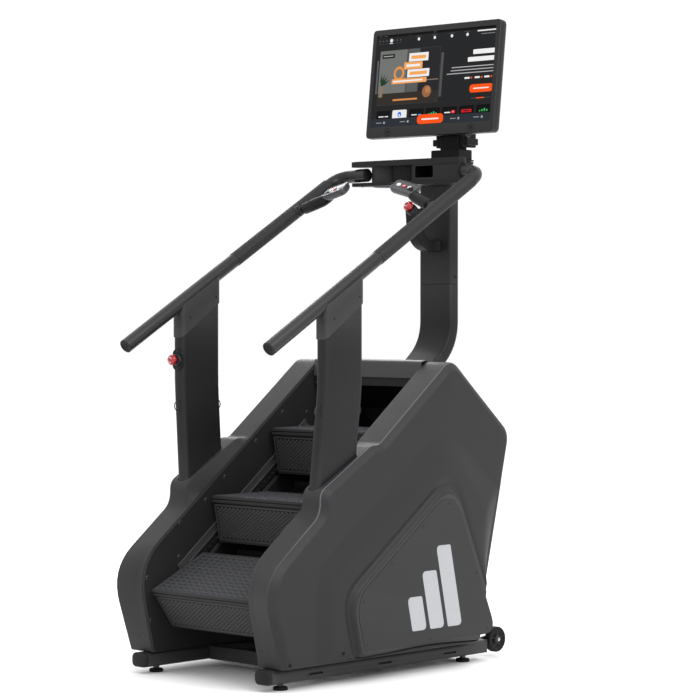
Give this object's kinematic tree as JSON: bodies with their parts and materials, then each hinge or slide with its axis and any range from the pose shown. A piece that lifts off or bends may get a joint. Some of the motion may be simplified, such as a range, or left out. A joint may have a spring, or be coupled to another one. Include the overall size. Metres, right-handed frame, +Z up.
{
  "type": "stair climber",
  "caption": "Escalator-style stair climber with moulded side covers, moving steps, sloping handrails, a bent mast with a bottle tray and a tilting display.",
  "frame": {"origin": "centre of the footprint's bounding box, on the floor", "axes": "+Z up, +Y the way the climber faces (towards the mast), +X the climber's right"},
  "size_m": [0.7706, 1.243, 2.0607],
  "materials": {
    "frame_paint": "black textured powder coat",
    "cover_plastic": "charcoal moulded, fine grain",
    "dark_plastic": "black moulded",
    "step_metal": "black moulded, raised anti-slip pattern",
    "rubber": "black",
    "rail_tube": "dark satin tube with fine ribs",
    "steel": "machined",
    "cast_metal": "cast, grey",
    "red_plastic": "red, glossy",
    "white_plastic": "white, glossy",
    "display_glass": "dark, glossy"
  },
  "bodies": {
    "machine": {"access_panel_left": "cover_plastic", "access_panel_right": "cover_plastic", "base_rail_left": "frame_paint", "base_rail_right": "frame_paint", "console_tray": "dark_plastic", "cross_tube_front": "frame_paint", "cross_tube_rear": "frame_paint", "drive_bearing_left": "cast_metal", "drive_bearing_right": "cast_metal", "drive_belt": "rubber", "estop_arm": "dark_plastic", "generator": "cast_metal", "grip_left": "dark_plastic", "grip_right": "dark_plastic", "handrail_left": "rail_tube", "handrail_right": "rail_tube", "idler_bearing_left": "cast_metal", "idler_bearing_right": "cast_metal", "mast_lower": "frame_paint", "mast_upper": "frame_paint", "post_cap_left": "dark_plastic", "post_cap_right": "dark_plastic", "post_left": "frame_paint", "post_right": "frame_paint", "power_inlet": "dark_plastic", "rail_end_cap_left": "dark_plastic", "rail_end_cap_right": "dark_plastic", "rear_cover": "cover_plastic", "screen_neck": "frame_paint", "side_cover_left": "cover_plastic", "side_cover_right": "cover_plastic", "side_frame_left": "frame_paint", "side_frame_right": "frame_paint", "step_chain_left": "steel", "step_chain_right": "steel", "top_cover": "cover_plastic"},
    "front_steps": {"step_2": "step_metal", "step_3": "step_metal"},
    "first_step": {"step_1": "step_metal"},
    "return_steps": {"step_4": "step_metal", "step_5": "step_metal"},
    "drive": {"drive_shaft": "steel"},
    "idler": {"idler_shaft": "steel"},
    "generator_rotor": {"generator_pulley": "cast_metal"},
    "display": {"screen_housing": "dark_plastic", "screen_glass": "display_glass"},
    "post_stop": {"estop_button_post": "red_plastic"},
    "mast_stop": {"estop_button_arm": "red_plastic"},
    "wheel_left": {"transport_wheel_left": "rubber"},
    "levelling_foot_front_left": {"foot_front_left": "rubber"},
    "levelling_foot_rear_left": {"foot_rear_left": "rubber"},
    "faster_key_left": {"speed_up_button_left": "white_plastic"},
    "stop_key_left": {"stop_button_left": "red_plastic"},
    "slower_key_left": {"speed_down_button_left": "white_plastic"},
    "wheel_right": {"transport_wheel_right": "rubber"},
    "levelling_foot_front_right": {"foot_front_right": "rubber"},
    "levelling_foot_rear_right": {"foot_rear_right": "rubber"},
    "faster_key_right": {"speed_up_button_right": "white_plastic"},
    "stop_key_right": {"stop_button_right": "red_plastic"},
    "slower_key_right": {"speed_down_button_right": "white_plastic"}
  },
  "joints": [
    {"name": "step_travel", "type": "slide", "parent": "machine", "child": "front_steps", "axis": [0, -0.7905, -0.6125], "range_m": [-0.022, 0.14]},
    {"name": "first_step_roll", "type": "hinge", "parent": "machine", "child": "first_step", "pos_m": [0, -0.3733, 0.2734], "axis": [1, 0, 0], "range_deg": [-24.5, 153]},
    {"name": "return_travel", "type": "slide", "parent": "machine", "child": "return_steps", "axis": [0, 0.7905, 0.6125], "range_m": [-0.0225, 0.1405]},
    {"name": "drive_turn", "type": "hinge", "parent": "machine", "child": "drive", "pos_m": [0, 0.1507, 0.6794], "axis": [1, 0, 0], "range_deg": [-24.5, 153]},
    {"name": "idler_turn", "type": "hinge", "parent": "machine", "child": "idler", "pos_m": [0, -0.3733, 0.2734], "axis": [1, 0, 0], "range_deg": [-24.5, 153]},
    {"name": "generator_turn", "type": "hinge", "parent": "machine", "child": "generator_rotor", "pos_m": [0, 0.185, 0.215], "axis": [1, 0, 0], "range_deg": [-73, 458]},
    {"name": "display_tilt", "type": "hinge", "parent": "machine", "child": "display", "pos_m": [0, 0.575, 1.672], "axis": [1, 0, 0], "range_deg": [-10, 8]},
    {"name": "post_stop_press", "type": "slide", "parent": "machine", "child": "post_stop", "axis": [0, 1, 0], "range_m": [0, 0.005], "stiffness_N_per_m": 800, "springref_m": -0.002},
    {"name": "mast_stop_press", "type": "slide", "parent": "machine", "child": "mast_stop", "axis": [0, 0.8, -0.6], "range_m": [0, 0.005], "stiffness_N_per_m": 800, "springref_m": -0.002},
    {"name": "wheel_turn_left", "type": "hinge", "parent": "machine", "child": "wheel_left", "pos_m": [-0.272, 0.4707, 0.0562], "axis": [1, 0, 0], "continuous": true},
    {"name": "foot_screw_front_left", "type": "slide", "parent": "machine", "child": "levelling_foot_front_left", "axis": [0, 0, -1], "range_m": [0, 0.015]},
    {"name": "foot_screw_rear_left", "type": "slide", "parent": "machine", "child": "levelling_foot_rear_left", "axis": [0, 0, -1], "range_m": [0, 0.015]},
    {"name": "faster_press_left", "type": "slide", "parent": "machine", "child": "faster_key_left", "axis": [0.2006, 0.5592, -0.8044], "range_m": [0, 0.0015], "stiffness_N_per_m": 500, "springref_m": -0.001},
    {"name": "stop_press_left", "type": "slide", "parent": "machine", "child": "stop_key_left", "axis": [0.2006, 0.5592, -0.8044], "range_m": [0, 0.0015], "stiffness_N_per_m": 500, "springref_m": -0.001},
    {"name": "slower_press_left", "type": "slide", "parent": "machine", "child": "slower_key_left", "axis": [0.2006, 0.5592, -0.8044], "range_m": [0, 0.0015], "stiffness_N_per_m": 500, "springref_m": -0.001},
    {"name": "wheel_turn_right", "type": "hinge", "parent": "machine", "child": "wheel_right", "pos_m": [0.272, 0.4707, 0.0562], "axis": [1, 0, 0], "continuous": true},
    {"name": "foot_screw_front_right", "type": "slide", "parent": "machine", "child": "levelling_foot_front_right", "axis": [0, 0, -1], "range_m": [0, 0.015]},
    {"name": "foot_screw_rear_right", "type": "slide", "parent": "machine", "child": "levelling_foot_rear_right", "axis": [0, 0, -1], "range_m": [0, 0.015]},
    {"name": "faster_press_right", "type": "slide", "parent": "machine", "child": "faster_key_right", "axis": [-0.2006, 0.5592, -0.8044], "range_m": [0, 0.0015], "stiffness_N_per_m": 500, "springref_m": -0.001},
    {"name": "stop_press_right", "type": "slide", "parent": "machine", "child": "stop_key_right", "axis": [-0.2006, 0.5592, -0.8044], "range_m": [0, 0.0015], "stiffness_N_per_m": 500, "springref_m": -0.001},
    {"name": "slower_press_right", "type": "slide", "parent": "machine", "child": "slower_key_right", "axis": [-0.2006, 0.5592, -0.8044], "range_m": [0, 0.0015], "stiffness_N_per_m": 500, "springref_m": -0.001}
  ],
  "couplings": [
    {"joint": "first_step_roll", "follows": "step_travel", "rad_per_m": 18.957},
    {"joint": "return_travel", "follows": "step_travel", "ratio": 1},
    {"joint": "drive_turn", "follows": "step_travel", "rad_per_m": 18.957},
    {"joint": "idler_turn", "follows": "step_travel", "rad_per_m": 18.957},
    {"joint": "generator_turn", "follows": "step_travel", "rad_per_m": 56.872}
  ]
}
